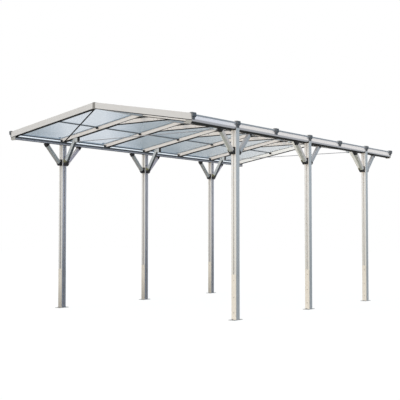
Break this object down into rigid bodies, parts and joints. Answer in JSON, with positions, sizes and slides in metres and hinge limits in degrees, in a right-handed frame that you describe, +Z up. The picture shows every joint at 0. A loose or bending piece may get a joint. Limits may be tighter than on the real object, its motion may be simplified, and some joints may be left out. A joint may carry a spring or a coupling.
{
  "type": "carport",
  "caption": "Free-standing open carport with a low gable roof of clear panels on an aluminium frame, with braced posts, eave gutters and bolt-down feet.",
  "frame": {"origin": "ground level at the middle of the footprint", "axes": "+Z up, +Y along the ridge towards the rear, +X to the right seen from the front"},
  "size_m": [2.7934, 5.052, 2.4313],
  "materials": {
    "frame_aluminium": "satin",
    "foot_steel": "satin",
    "clear_panel": "clear, faintly smoky",
    "slate_trim": "matte",
    "black_plastic": "matte"
  },
  "bodies": {
    "root": {"post_front_left": "frame_aluminium", "post_middle_left": "frame_aluminium", "post_rear_left": "frame_aluminium", "post_front_right": "frame_aluminium", "post_middle_right": "frame_aluminium", "post_rear_right": "frame_aluminium", "post_feet_left": "foot_steel", "post_feet_right": "foot_steel", "gutter_left": "frame_aluminium", "gutter_right": "frame_aluminium", "gutter_end_caps": "frame_aluminium", "gutter_trims": "slate_trim", "rafters_1": "frame_aluminium", "rafters_2": "frame_aluminium", "rafters_3": "frame_aluminium", "rafters_4": "frame_aluminium", "rafters_5": "frame_aluminium", "end_frame_front": "frame_aluminium", "end_frame_rear": "frame_aluminium", "ridge_beam": "frame_aluminium", "ridge_end_caps": "slate_trim", "collar_bars": "frame_aluminium", "rafter_covers": "black_plastic", "collar_covers": "black_plastic", "ridge_brackets": "black_plastic", "roof_panels_1": "clear_panel", "roof_panels_2": "clear_panel", "roof_panels_3": "clear_panel", "roof_panels_4": "clear_panel", "roof_panels_5": "clear_panel", "roof_panels_6": "clear_panel", "purlins_left": "slate_trim", "purlins_right": "slate_trim", "purlin_fittings": "black_plastic", "eave_rails_left": "slate_trim", "eave_rails_right": "slate_trim", "rafter_seats": "black_plastic", "rafter_clips_left": "slate_trim", "rafter_clips_right": "slate_trim", "braces_left": "frame_aluminium", "braces_right": "frame_aluminium", "brace_brackets_left": "black_plastic", "brace_brackets_right": "black_plastic", "cross_ties": "frame_aluminium", "roof_rods": "slate_trim"}
  },
  "joints": []
}
